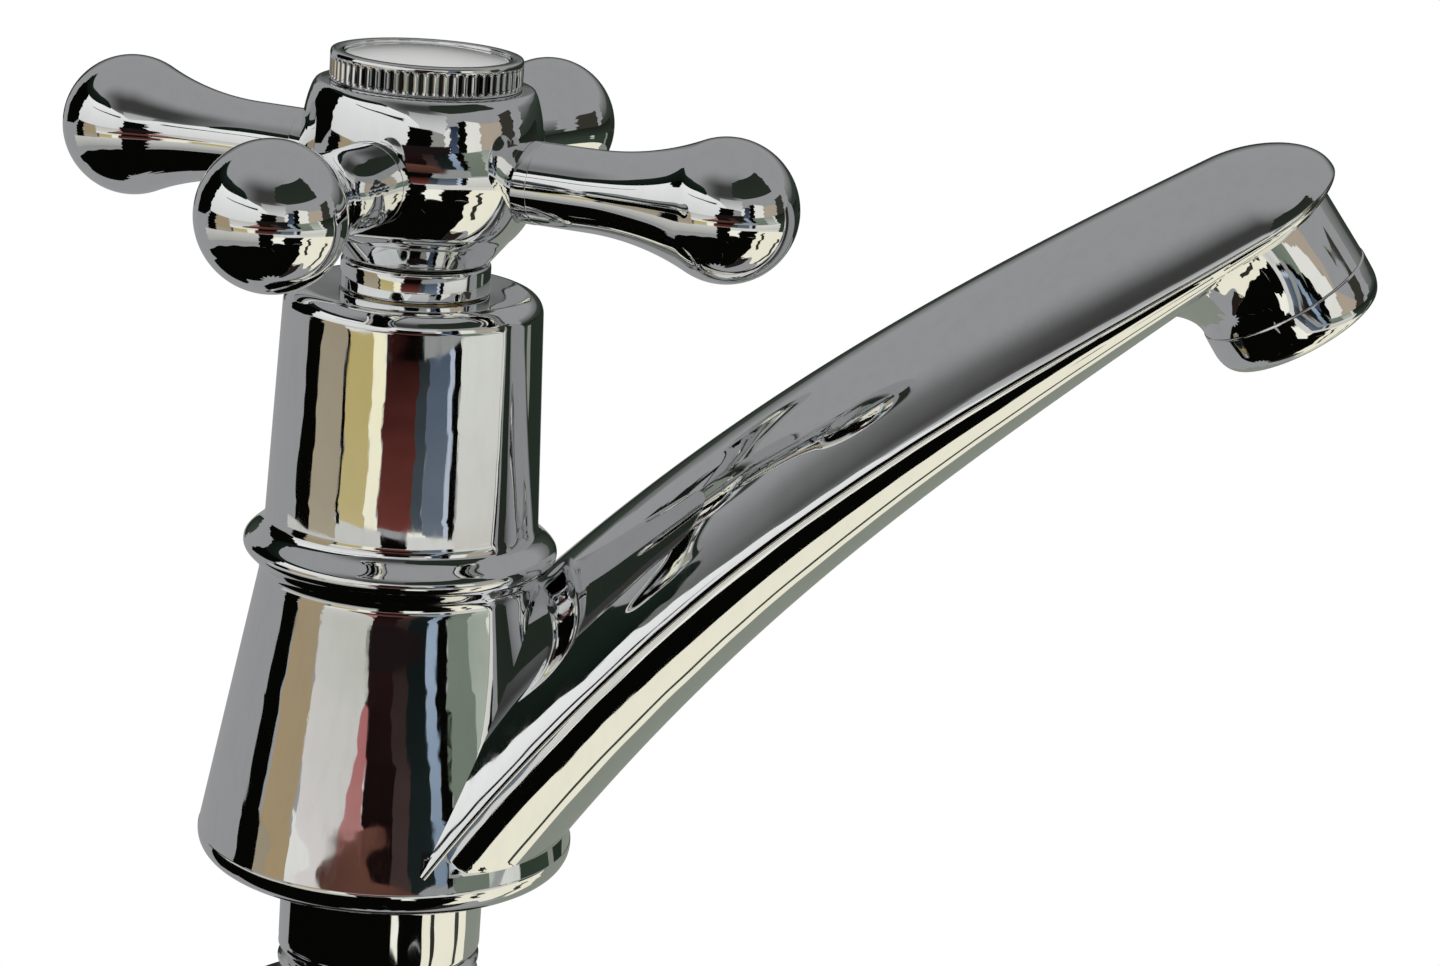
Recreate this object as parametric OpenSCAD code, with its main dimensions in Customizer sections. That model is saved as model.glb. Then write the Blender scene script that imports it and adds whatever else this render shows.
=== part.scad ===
// Pillar basin tap with a cross handle and a quarter-turn ceramic headwork.
// +Z runs up the body's axis, the spout leaves along +X, and z = 0 is the
// underside of the base, which stands on the basin's deck.

/* [Body] */
// Radius of the base at its widest
base_r = 19.3; // [18.8:0.1:21]
// Rounding of the base's lower edge
base_round = 2.4; // [1:0.1:3]
// Radius of the cone at the height of the bead
cone_top_r = 13.6; // [13.5:0.1:14.4]
// Height of the middle of the bead
bead_z = 33.5; // [32.5:0.5:36]
// Outer radius of the bead
bead_r = 15.9; // [15.7:0.1:17]
// Half height of the bead, up to where it is hollow
bead_half_h = 1.7; // [1.5:0.1:2.2]
// How square the bead's section is
bead_power = 2.4; // [2.2:0.1:3.5]
// Floor of the chamber and top of the shank, on which the headwork's seal sits
seat_z = 17; // [15:0.5:18]
// Radius of the chamber round the headwork
chamber_r = 9.9; // [9.4:0.1:10.1]

/* [Spout] */
// Reach of the spout's tip from the body's axis
spout_reach = 91; // [80:1:110]
// Height of the spout's edge line at the tip
spout_rise = 78.5; // [72:0.5:86]
// Slope of the edge line at the root, in degrees
spout_root_slope = 53.5; // [50:0.5:56]
// Slope of the edge line at the tip, in degrees
spout_tip_slope = 36; // [30:0.5:38]
// Half width of the spout at the tip
spout_tip_w = 10.3; // [9.6:0.1:12]
// Height of the crown over the edge line at the root
root_crown = 9.3; // [8:0.1:11]
// Height of the crown over the edge line at the tip
tip_crown = 5.6; // [5.2:0.1:7]
// How lean the crown is beside its crest, 1 for a half ellipse
crown_power = 1.45; // [1:0.05:1.8]
// Depth of the belly under the edge line at the root
root_belly = 12.3; // [11:0.1:14]
// Depth of the belly under the edge line at the tip
tip_belly = 1.9; // [1.5:0.1:3]
// Length over which the tip rounds off
tip_round = 8.4; // [7:0.1:10]
// Radius of the waterway inside the spout
waterway_r = 3.2; // [2.6:0.1:3.4]

/* [Nozzle] */
// Distance of the nozzle's axis behind the spout's tip
nozzle_setback = 8.5; // [8:0.1:12]
// Length from the spout's edge line to the outlet
nozzle_drop = 13.5; // [13:0.1:18]
// Outer radius of the nozzle where the aerator meets it
nozzle_r = 8.9; // [8.6:0.1:9.4]
// Outer radius of the nozzle where it leaves the spout
nozzle_neck_r = 8.5; // [8.3:0.1:8.8]
// How far the nozzle flares out towards the spout's root
nozzle_flare = 10.5; // [5:0.1:11]
// Radius of the aerator's thread
aerator_thread_r = 7.2; // [7:0.05:7.4]
// Visible height of the aerator's ring
aerator_ring_h = 4.5; // [3:0.1:5]
// Outer radius of the aerator's ring
aerator_ring_r = 9; // [8.8:0.1:9.5]
// Height of the aerator's threaded part
aerator_thread_h = 3.6; // [3:0.1:4]
// Rounding of the aerator's ring at the outlet, across and up
aerator_round = 1.1; // [0.6:0.1:1.3]
// Wall of the aerator's threaded part, and width of the lip that holds the insert
aerator_wall = 1; // [0.8:0.1:1.2]

/* [Shank] */
// Outside radius of the shank's pipe thread
shank_r = 10.478; // [10.2:0.001:10.7]
// Length of the shank below the base
shank_len = 45; // [42:1:60]
// Plain length of the shank right under the base
collar_len = 8; // [4:0.5:12]
// Length at the shank's end for the supply connector
connector_len = 14; // [10:0.5:14.5]
// Pitch of the thread on the shank
thread_pitch = 1.814; // [1.4:0.001:2.2]
// Depth of the thread on the shank
thread_depth = 1.16; // [0.8:0.01:1.3]
// Radius of the inlet through the shank
inlet_r = 5.5; // [4.5:0.1:6]
// Radius of the shank's top, which screws into the body up to the chamber
spigot_r = 9; // [8:0.1:9.3]

/* [Fixing set] */
// Thickness of the deck that the tap is clamped to
deck_t = 18; // [12:1:18]
// Thickness of the soft washer under the deck
soft_washer_t = 3; // [2:0.5:3.5]
// Thickness of the metal washer
metal_washer_t = 1.2; // [0.8:0.1:1.5]
// Outer radius of both washers
fixing_washer_r = 16.5; // [15.5:0.5:19]
// Height of the backnut
backnut_h = 8; // [6:0.5:8]
// Width of the backnut across its flats
backnut_flats = 27; // [26:0.5:32]
// Inner radius of the seal in the base
base_seal_r1 = 12.4; // [12:0.1:12.8]
// Outer radius of the seal in the base
base_seal_r2 = 15; // [14.2:0.1:15.4]
// Height of the seal in the base
base_seal_h = 1.6; // [1:0.1:2.5]

/* [Headwork] */
// Radius of the thread that holds the headwork in the body
headwork_thread_r = 10.45; // [10.3:0.01:10.6]
// Width of the headwork's hexagon across its flats
hex_flats = 21; // [20.8:0.1:21.6]
// Height of the hexagon
hex_h = 5; // [4:0.1:6]
// Radius of the neck above the hexagon
neck_r = 8; // [7.5:0.1:9]
// Radius of the thread at the top of the neck
neck_thread_r = 6.4; // [6:0.1:6.6]
// Outer radius of the barrel round the discs
barrel_r = 8.6; // [8.5:0.1:8.9]
// Inner radius of the barrel
barrel_bore_r = 7.3; // [7.2:0.05:7.5]
// Thickness of the headwork's sealing washer
headwork_seal_t = 0.8; // [0.5:0.1:1.2]
// Height of the seal under the discs
seat_seal_h = 1.6; // [1.2:0.1:2]
// Thickness of the fixed ceramic disc
fixed_disc_t = 2.8; // [2.4:0.1:3]
// Thickness of the moving ceramic disc
moving_disc_t = 2.5; // [2.2:0.1:2.8]
// Thickness of the washer over the spindle's foot
thrust_washer_t = 0.7; // [0.5:0.05:0.9]
// Quarter turn of the handle, in degrees
turn_range = 90; // [80:5:100]

/* [Spindle] */
// Radius of the spindle
spindle_r = 4; // [3.7:0.05:4.2]
// Running clearance round the spindle
spindle_fit = 0.05; // [0.02:0.01:0.1]
// Number of splines on the spindle's top
splines = 20; // [16:2:24]
// Depth of the splines
spline_depth = 0.35; // [0.25:0.05:0.45]
// Length of the splines
spline_len = 10; // [8:0.5:10.5]
// Radius of the handle screw's thread
screw_r = 1.95; // [1.8:0.05:2]

/* [Cover] */
// Outer radius of the cover at its foot
cover_foot_r = 13.8; // [13.6:0.1:14.2]
// Outer radius of the cover at its top
cover_top_r = 13; // [12.9:0.1:13.4]
// Height of the cover's flat top above the deck
cover_top_z = 60.2; // [58.5:0.1:62]
// Rounding of the cover's top edge
cover_round = 2; // [1.6:0.1:2.6]
// Wall of the cover
cover_wall = 1.2; // [1:0.1:1.3]
// Outer radius of the collar nut on the cover
collar_r = 7.5; // [7.3:0.1:8.5]
// Height of the collar nut
collar_h = 2.9; // [2.5:0.1:3.5]

/* [Handle] */
// Gap between the collar nut and the handle
handle_gap = 0.3; // [0.3:0.05:0.8]
// Height of the handle's hub
hub_h = 17.3; // [17:0.1:19]
// Radius of the hub at its middle
hub_r = 12.1; // [11.8:0.1:13]
// Radius of the hub's underside
hub_foot_r = 7.4; // [7.2:0.1:8]
// Height of the arms' axis above the hub's underside
arm_h = 9; // [8.5:0.1:9.5]
// Distance of each ball's centre from the handle's axis
arm_reach = 32.2; // [29:0.1:38]
// Radius of the ball that ends an arm
ball_r = 7.1; // [6.4:0.1:7.6]
// Radius of an arm where it meets the hub
arm_neck_r = 4.1; // [3.8:0.05:4.4]
// Radius of the hollow between an arm's neck and its ball
arm_hollow_r = 27; // [22:1:32]
// Radius of the thread that holds an arm in the hub
arm_thread_r = 2.5; // [2.2:0.1:3]
// Turn of the arms when the tap is shut, in degrees
handle_angle = -24.3; // [-45:0.1:45]

/* [Index cap] */
// Radius of the fluted cap
cap_r = 9.5; // [9.2:0.1:10]
// Height of the fluted cap
cap_h = 3; // [2.6:0.1:4]
// Number of flutes round the cap
cap_flutes = 60; // [48:2:64]
// Depth of the flutes
flute_depth = 0.3; // [0.2:0.05:0.4]
// Radius of the pale disc in the cap
index_r = 8.2; // [7.6:0.1:8.4]
// Thickness of the cap under the disc
cap_floor_h = 1.2; // [1:0.1:1.5]
// Height of the disc's dome
index_dome = 0.8; // [0.4:0.1:1.2]

/* [Hidden] */
$fn = 96;

// Clearances
thread_fit = 0.05;
push_fit = 0.05;
lapped_gap = 0.02;

// Places on the body's axis
seam_rise = 1.8;
body_top_z = bead_z+seam_rise;
bead_reach = 2.2*bead_half_h;
chamber_h = 10;
thread_z = seat_z+chamber_h;
hex_z = body_top_z+headwork_seal_t;
shoulder_h = 1;
shoulder_z = thread_z+shoulder_h;
collar_z = cover_top_z;
headwork_top_z = collar_z+collar_h-0.3;
hub_z = collar_z+collar_h+handle_gap;
hub_top_z = hub_z+hub_h;
arm_z = hub_z+arm_h;
spline_drop = 4.5;
spline_top_z = hub_top_z-spline_drop;
spline_gap = 0.2;
web_z = spline_top_z+spline_gap;
web_t = 1.6;
recess_z = web_z+web_t;
cap_land = 1.7;
recess_r = cap_r-cap_land;
cap_skirt_t = 2;
cap_skirt_gap = 0.4;
clip_z = headwork_top_z+0.1;
clip_t = 0.6;
clip_r = spindle_r+1.4;
clip_groove_r = spindle_r-0.7;
hub_pocket_r = hub_foot_r-1.2;
hub_pocket_h = 3.1;

// The discs and the spindle's foot inside the barrel
barrel_z = seat_z+0.6;
fixed_disc_z = seat_z+seat_seal_h;
moving_disc_z = fixed_disc_z+fixed_disc_t+lapped_gap;
disc_r = barrel_bore_r-0.1;
port_r1 = 2.2;
port_r2 = disc_r-1.2;
port_angle = 80;
foot_z = moving_disc_z+moving_disc_t+0.1;
foot_r = barrel_bore_r-0.4;
foot_top_z = shoulder_z-thrust_washer_t-spindle_fit;
tongue_w = 3;
tongue_h = 1;
key_angle = 40;
key_r = foot_r-1.4;
stop_slack = 0.4;
window_h = 5;
window_w = 8;
ring_section_r = 0.44;
ring_groove_r = spindle_r-0.9;
ring_groove_w = 1.1;
o_ring_zs = [thread_z+17, thread_z+23];

// The spout is swept along its edge line, from root_x to the reach.
// Its edge line and its sizes are cubic curves with a given value and
// slope at each end.
root_x = 4;
root_z = 4.5;
root_w = base_r-0.7;
root_w_slope = -0.29;
tip_w_slope = -0.1;
crown_slopes = [-0.06, -0.13];
belly_slopes = [-0.08, -0.17];
spout_rings = 30;
spout_sides = 32;
spout_run = spout_reach-root_x;

// Cubic from a to b with end slopes ma and mb over the run, at share t
function cubic(a, b, ma, mb, t) = a*(1+2*t)*pow(1-t, 2)+b*t*t*(3-2*t)
    +spout_run*(ma*t*pow(1-t, 2)-mb*t*t*(1-t));
// Slope of the same cubic against x
function cubic_slope(a, b, ma, mb, t) = (b-a)*6*t*(1-t)/spout_run
    +ma*(1-t)*(1-3*t)+mb*t*(3*t-2);
function share(x) = (x-root_x)/spout_run;
function edge_z(x) = cubic(root_z, spout_rise, tan(spout_root_slope),
    tan(spout_tip_slope), share(x));
function edge_slope(x) = cubic_slope(root_z, spout_rise, tan(spout_root_slope),
    tan(spout_tip_slope), share(x));
function edge_angle(x) = atan(edge_slope(x));
function tip_share(x) = max(0, (x-spout_reach+tip_round)/tip_round);
function closing(x) = sqrt(max(0, 1-pow(tip_share(x), 2)));
function half_w(x) = cubic(root_w, spout_tip_w, root_w_slope, tip_w_slope, share(x));
function crown(x) = cubic(root_crown, tip_crown, crown_slopes[0], crown_slopes[1],
    share(x));
function belly(x) = cubic(root_belly, tip_belly, belly_slopes[0], belly_slopes[1],
    share(x));
// A point at height h square to the edge line and y to the side
function off_edge(x, y, h) = [x-sin(edge_angle(x))*h, y, edge_z(x)+cos(edge_angle(x))*h];
// One ring of the spout: an arch over the edge line, a half ellipse under it
function spout_ring(x) = [for (i = [0:spout_sides-1]) let (a = 360*i/spout_sides)
    off_edge(x, half_w(x)*closing(x)*cos(a),
        closing(x)*(a < 180 ? crown(x)*pow(sin(a), crown_power) : belly(x)*sin(a)))];

// The nozzle stands square under the edge line
nozzle_x = spout_reach-nozzle_setback;
nozzle_tilt = edge_angle(nozzle_x);
aerator_seal_t = 1.6;
nozzle_shoulder = aerator_ring_h+aerator_thread_h+aerator_seal_t;
insert_r = aerator_thread_r-aerator_wall;
screen_z = aerator_ring_h+aerator_thread_h-1.2;

// The waterway runs midway between crown and belly
way_start = [chamber_r-2, 0, seat_z+5];
way_bends = 8;
way_first = base_r+3;
function way_point(x) = off_edge(x, 0, (crown(x)-belly(x))/2);
way = concat([way_start], [for (i = [0:way_bends])
    way_point(way_first+(nozzle_x+1-way_first)*i/way_bends)]);

// Points on an arc round [cx, cy]
function arc(cx, cy, rx, ry, a0, a1, n) =
    [for (i = [0:n]) let (a = a0+(a1-a0)*i/n) [cx+rx*cos(a), cy+ry*sin(a)]];

module ring(r1, r2, h) {
    difference() {
        cylinder(r = r2, h = h);
        translate([0, 0, -1]) cylinder(r = r1, h = h+2);
    }
}

// A slice of a disc between two angles under 180 degrees apart
module slice(r1, r2, a, h) {
    far = 2*r2;
    difference() {
        cylinder(r = r2, h = h);
        if (r1 > 0) translate([0, 0, -1]) cylinder(r = r1, h = h+2);
        translate([0, 0, -1]) rotate(a/2) translate([-far, 0, 0]) cube([2*far, far, h+2]);
        translate([0, 0, -1]) rotate(-a/2) translate([-far, -far, 0]) cube([2*far, far, h+2]);
    }
}

// The waterway as one tube: a ring square to the path at each of its points
module waterway() {
    n = 20;
    last = len(way)-1;
    points = [for (k = [0:last]) let (d = way[min(k+1, last)]-way[max(k-1, 0)],
            up = [-d[2], 0, d[0]]/norm(d)) for (i = [0:n-1]) let (a = 360*i/n)
        way[k]+waterway_r*(cos(a)*[0, 1, 0]+sin(a)*up)];
    sides = [for (k = [0:last-1]) for (i = [0:n-1]) let (j = (i+1)%n)
        each [[k*n+i, (k+1)*n+i, (k+1)*n+j], [k*n+i, (k+1)*n+j, k*n+j]]];
    polyhedron(points, concat([[for (i = [0:n-1]) i]], sides,
        [[for (i = [0:n-1]) (last+1)*n-1-i]]), convexity = 4);
}

// Places its children on the nozzle's axis, z = 0 at the outlet, +z inwards
module at_nozzle() {
    translate([nozzle_x, 0, edge_z(nozzle_x)]) rotate([0, -nozzle_tilt, 0])
        translate([0, 0, -nozzle_drop]) children();
}

module spout_solid() {
    xs = [for (i = [0:spout_rings-1]) let (u = i/spout_rings)
        root_x+spout_run*(1-pow(1-u, 2))];
    points = concat([for (x = xs) each spout_ring(x)],
        [[spout_reach, 0, edge_z(spout_reach)]]);
    last = spout_rings*spout_sides;
    n = spout_sides;
    root_face = [[for (i = [0:n-1]) i]];
    sides = [for (k = [0:spout_rings-2]) for (i = [0:n-1]) let (j = (i+1)%n)
        each [[k*n+i, (k+1)*n+i, (k+1)*n+j], [k*n+i, (k+1)*n+j, k*n+j]]];
    tip = [for (i = [0:n-1]) [last-n+i, last, last-n+(i+1)%n]];
    intersection() {
        polyhedron(points, concat(root_face, sides, tip), convexity = 4);
        translate([-base_r, -2*base_r, 0])
            cube([2*base_r+spout_reach, 4*base_r, 2*spout_rise]);
    }
}

// Radius at height z of a wall of radius r with the bead on it, a bump with hollow flanks
function bead_skin(r, z) = r+(bead_r-r)*exp(-pow(abs(z-bead_z)/bead_half_h, bead_power));
function cone_r(z) = base_r+(cone_top_r-base_r)*(z-base_round)/(bead_z-base_round);

// The nozzle: rings that narrow to the neck and flare out on the root's side
module nozzle_solid() {
    n = 48;
    rings = 8;
    low = aerator_ring_h;
    high = nozzle_drop-0.5;
    points = [for (k = [0:rings]) let (u = k/rings) for (i = [0:n-1]) let (a = 360*i/n,
            r = nozzle_r+(nozzle_neck_r-nozzle_r)*u+nozzle_flare*u*u*pow((1-cos(a))/2, 3))
        [r*cos(a), r*sin(a), low+(high-low)*u]];
    sides = [for (k = [0:rings-1]) for (i = [0:n-1]) let (j = (i+1)%n)
        each [[k*n+i, (k+1)*n+i, (k+1)*n+j], [k*n+i, (k+1)*n+j, k*n+j]]];
    polyhedron(points, concat([[for (i = [0:n-1]) i]], sides,
        [[for (i = [0:n-1]) (rings+1)*n-1-i]]), convexity = 4);
}

module body_profile() {
    cone_angle = atan((base_r-cone_top_r)/(bead_z-base_round));
    steps = 24;
    polygon(concat([[0, 0], [base_r-base_round, 0]],
        arc(base_r-base_round, base_round, base_round, base_round, -90, cone_angle/2, 8),
        [for (i = [0:steps]) let (z = bead_z-bead_reach+(body_top_z-bead_z+bead_reach)*i/steps)
            [bead_skin(z > bead_z ? cover_foot_r : cone_r(z), z), z]],
        [[0, body_top_z]]));
}

module thread_grooves(r, z0, z1, pitch, depth) {
    count = floor((z1-z0)/pitch);
    crest = pitch/6;
    for (i = [0:count-1]) translate([0, 0, z0+(i+0.5)*pitch])
        rotate_extrude() polygon([[r+1, -pitch/2+crest-0.2], [r, -pitch/2+crest/2],
            [r-depth, -crest/4], [r-depth, crest/4], [r, pitch/2-crest/2],
            [r+1, pitch/2-crest+0.2]]);
}

module tap_body() {
    color("silver") difference() {
        union() {
            rotate_extrude() body_profile();
            spout_solid();
            at_nozzle() nozzle_solid();
        }
        translate([0, 0, -1]) cylinder(r = spigot_r+thread_fit, h = seat_z+2);
        translate([0, 0, seat_z]) cylinder(r = chamber_r, h = thread_z-seat_z+1);
        translate([0, 0, thread_z-1]) cylinder(r = headwork_thread_r+thread_fit, h = body_top_z);
        translate([0, 0, -1]) ring(base_seal_r1-push_fit, base_seal_r2+push_fit, base_seal_h+1);
        waterway();
        at_nozzle() translate([0, 0, -1])
            cylinder(r = aerator_thread_r+thread_fit, h = nozzle_shoulder+1);
        at_nozzle() cylinder(r = waterway_r+0.8, h = nozzle_drop+1);
    }
}

module shank() {
    color("silver") difference() {
        union() {
            translate([0, 0, -shank_len]) cylinder(r = shank_r, h = shank_len);
            translate([0, 0, -1]) cylinder(r = spigot_r, h = seat_z+1);
        }
        translate([0, 0, -shank_len-1]) cylinder(r = inlet_r, h = shank_len+seat_z+2);
        thread_grooves(shank_r, -shank_len+connector_len, -collar_len, thread_pitch,
            thread_depth);
    }
}

module base_seal() {
    color("dimgray") ring(base_seal_r1, base_seal_r2, base_seal_h);
}

module soft_washer() {
    color("dimgray") translate([0, 0, -deck_t-soft_washer_t])
        ring(shank_r+0.5, fixing_washer_r, soft_washer_t);
}

module metal_washer() {
    color("lightgray") translate([0, 0, -deck_t-soft_washer_t-metal_washer_t])
        ring(shank_r+0.3, fixing_washer_r, metal_washer_t);
}

module backnut() {
    top = -deck_t-soft_washer_t-metal_washer_t;
    flange_t = backnut_h/4;
    color("goldenrod") translate([0, 0, top-backnut_h]) difference() {
        union() {
            cylinder(r = backnut_flats/2/cos(30), h = backnut_h-flange_t/2, $fn = 6);
            translate([0, 0, backnut_h-flange_t]) cylinder(r = fixing_washer_r-0.5, h = flange_t);
        }
        translate([0, 0, -1]) cylinder(r = shank_r+thread_fit, h = backnut_h+2);
    }
}

module headwork_seal() {
    color("firebrick") translate([0, 0, body_top_z])
        ring(headwork_thread_r+0.2, hex_flats/2+0.9, headwork_seal_t);
}

module headwork_body() {
    color("goldenrod") difference() {
        union() {
            translate([0, 0, barrel_z]) cylinder(r = barrel_r, h = thread_z-barrel_z+1);
            translate([0, 0, thread_z]) cylinder(r = headwork_thread_r, h = hex_z-thread_z+1);
            translate([0, 0, hex_z]) cylinder(r = hex_flats/2/cos(30), h = hex_h, $fn = 6);
            translate([0, 0, hex_z]) cylinder(r = neck_r, h = (cover_top_z-hex_z)/2+2);
            translate([0, 0, hex_z]) cylinder(r = neck_thread_r, h = headwork_top_z-hex_z);
        }
        translate([0, 0, barrel_z-1]) cylinder(r = barrel_bore_r, h = shoulder_z-barrel_z+1);
        cylinder(r = spindle_r+spindle_fit, h = headwork_top_z+1);
        for (a = [0, 180]) rotate(a)
            translate([barrel_bore_r-2, -window_w/2, moving_disc_z+0.3])
            cube([4, window_w, window_h]);
    }
    color("goldenrod") rotate(90+turn_range/2) translate([0, 0, foot_z+0.3])
        slice(key_r+0.1, barrel_bore_r+0.3, key_angle, foot_top_z-foot_z-0.4);
}

module seat_seal() {
    color("dimgray") translate([0, 0, seat_z]) ring(inlet_r-0.6, disc_r, seat_seal_h);
}

// The two ports of a disc, opposite each other
module disc_ports(z, h) {
    for (a = [0, 180]) rotate(a) translate([0, 0, z]) slice(port_r1, port_r2, port_angle, h);
}

module fixed_disc() {
    color("white") difference() {
        translate([0, 0, fixed_disc_z]) cylinder(r = disc_r, h = fixed_disc_t);
        disc_ports(fixed_disc_z-1, fixed_disc_t+2);
    }
}

module moving_disc() {
    color("white") rotate(90) difference() {
        translate([0, 0, moving_disc_z]) cylinder(r = disc_r, h = moving_disc_t);
        disc_ports(moving_disc_z-1, moving_disc_t+2);
        translate([-tongue_w/2-push_fit, -disc_r, moving_disc_z+moving_disc_t-tongue_h])
            cube([tongue_w+2*push_fit, 2*disc_r, tongue_h+1]);
    }
}

module thrust_washer() {
    color("white") translate([0, 0, shoulder_z-thrust_washer_t])
        ring(spindle_r+0.2, foot_r, thrust_washer_t);
}

// Outline of the splines: one tooth per step, with flat flanks
module spline_outline(grow) {
    tip = spindle_r-0.1+grow;
    step = 360/splines;
    polygon([for (i = [0:splines-1]) for (k = [[0, 0], [0.35, 0], [0.5, 1], [0.85, 1]])
        let (a = (i+k[0])*step, r = tip-k[1]*spline_depth) [r*cos(a), r*sin(a)]]);
}

module spindle() {
    spline_z = spline_top_z-spline_len;
    color("goldenrod") difference() {
        union() {
            translate([0, 0, foot_z+1]) cylinder(r = spindle_r, h = spline_z-foot_z-1);
            translate([0, 0, foot_z]) cylinder(r = foot_r, h = foot_top_z-foot_z);
            translate([0, 0, spline_z-1]) linear_extrude(spline_len+1) spline_outline(0);
            rotate(90) translate([-tongue_w/2, 0.5-foot_r, foot_z-tongue_h+0.1])
                cube([tongue_w, 2*foot_r-1, tongue_h+0.5]);
        }
        rotate(90) translate([0, 0, foot_z+0.2])
            slice(key_r, foot_r+1, turn_range+key_angle+stop_slack, foot_top_z-foot_z+1);
        for (z = o_ring_zs) translate([0, 0, z-ring_groove_w/2])
            ring(ring_groove_r, spindle_r+1, ring_groove_w);
        translate([0, 0, clip_z-push_fit]) ring(clip_groove_r, spindle_r+1, clip_t+2*push_fit);
        translate([0, 0, spline_top_z-spline_len]) cylinder(r = screw_r+thread_fit, h = spline_len+1);
    }
}

module spindle_o_rings() {
    color("dimgray") for (z = o_ring_zs) translate([0, 0, z])
        rotate_extrude() translate([ring_groove_r+push_fit+ring_section_r, 0])
        circle(r = ring_section_r, $fn = 32);
}

module spindle_clip() {
    gap_w = 3;
    color("gray") translate([0, 0, clip_z]) difference() {
        ring(clip_groove_r+push_fit, clip_r, clip_t);
        translate([-gap_w/2, 0, -1]) cube([gap_w, 2*clip_r, clip_t+2]);
    }
}

module cover() {
    steps = 12;
    inner_foot = cover_foot_r-cover_wall;
    inner_top = cover_top_r-cover_wall;
    color("silver") difference() {
        rotate_extrude() polygon(concat([[inner_foot, body_top_z]],
            [for (i = [0:steps]) let (z = body_top_z+(bead_z+bead_reach-body_top_z)*i/steps)
                [bead_skin(cover_foot_r, z), z]],
            arc(cover_top_r-cover_round, cover_top_z-cover_round, cover_round, cover_round,
                0, 90, 8),
            [[0, cover_top_z], [0, cover_top_z-cover_wall],
            [inner_top-1, cover_top_z-cover_wall],
            [inner_top, cover_top_z-cover_wall-1]]));
        cylinder(r = neck_thread_r+thread_fit, h = cover_top_z+1);
    }
}

module collar_nut() {
    edge = 0.4;
    color("silver") difference() {
        translate([0, 0, collar_z]) rotate_extrude() polygon([[0, 0], [collar_r, 0],
            [collar_r, collar_h-edge], [collar_r-edge, collar_h], [0, collar_h]]);
        cylinder(r = neck_thread_r+thread_fit, h = collar_z+collar_h+1);
    }
}

// The hub's outline: a cone, a rounded barrel in two quarter ellipses, a flat top
module hub_profile() {
    mid = arm_h+1;
    low = 8.8;
    high = hub_h-mid+0.8;
    polygon(concat([[0, 0], [hub_foot_r, 0]],
        arc(hub_r-5.5, mid, 5.5, low, -59, 0, 10),
        arc(hub_r-2.3, mid, 2.3, high, 0, 58, 8),
        [[hub_r-2.3+0.9, hub_h], [0, hub_h]]));
}

module handle_hub() {
    color("silver") rotate(handle_angle) difference() {
        translate([0, 0, hub_z]) rotate_extrude() hub_profile();
        translate([0, 0, hub_z-1]) cylinder(r = hub_pocket_r, h = hub_pocket_h+1);
        rotate(-handle_angle) translate([0, 0, hub_z]) linear_extrude(web_z-hub_z)
            spline_outline(push_fit);
        translate([0, 0, hub_z]) cylinder(r = screw_r+0.3, h = hub_h);
        translate([0, 0, recess_z]) cylinder(r = recess_r, h = hub_h);
        for (a = [0:90:270]) rotate(a) translate([hub_r-5, 0, arm_z]) rotate([0, 90, 0])
            cylinder(r = arm_thread_r+thread_fit, h = 10);
        for (a = [0:90:270]) rotate(a) translate([hub_r-0.6, 0, arm_z]) rotate([0, 90, 0])
            cylinder(r = arm_neck_r+push_fit, h = 10);
    }
}

// One arm along +X: spigot, neck, hollow flare and ball
module arm() {
    foot = hub_r-0.6;
    hollow_c = arm_neck_r+arm_hollow_r;
    hollow_x = sqrt(pow(ball_r+arm_hollow_r, 2)-pow(hollow_c, 2));
    touch = ball_r/(ball_r+arm_hollow_r);
    rotate([0, 90, 0]) {
        translate([0, 0, hub_r-4.8]) cylinder(r = arm_thread_r, h = 5);
        rotate_extrude() difference() {
            union() {
                intersection() {
                    translate([0, arm_reach]) circle(r = ball_r);
                    translate([0, foot]) square([2*ball_r, arm_reach]);
                }
                polygon([[0, foot], [arm_neck_r, foot], [arm_neck_r, arm_reach-hollow_x],
                    [hollow_c*touch, arm_reach-hollow_x*touch], [0, arm_reach]]);
                polygon([[arm_neck_r-0.5, foot+2], [arm_neck_r, arm_reach-hollow_x],
                    [hollow_c, arm_reach-hollow_x],
                    [hollow_c*touch, arm_reach-hollow_x*touch], [0, arm_reach]]);
            }
            translate([hollow_c, arm_reach-hollow_x]) circle(r = arm_hollow_r, $fn = 180);
        }
    }
}

module handle_arms() {
    color("silver") rotate(handle_angle) for (a = [0:90:270]) rotate(a)
        translate([0, 0, arm_z]) arm();
}

module handle_screw() {
    head_r = 3.6;
    head_h = 2;
    slot_w = 0.9;
    color("lightgray") difference() {
        union() {
            translate([0, 0, recess_z-9]) cylinder(r = screw_r, h = 9+head_h/2);
            translate([0, 0, recess_z]) cylinder(r = head_r, h = head_h);
        }
        for (a = [0, 90]) rotate(a) translate([-head_r*0.6, -slot_w/2, recess_z+head_h/2])
            cube([head_r*1.2, slot_w, head_h]);
    }
}

// Outline of the fluted cap: flutes cut in as shallow vees
module fluted_outline() {
    step = 360/cap_flutes;
    polygon([for (i = [0:cap_flutes-1]) for (k = [[0, 0], [0.5, 0], [0.75, 1]])
        let (a = (i+k[0])*step, r = cap_r-k[1]*flute_depth) [r*cos(a), r*sin(a)]]);
}

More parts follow.
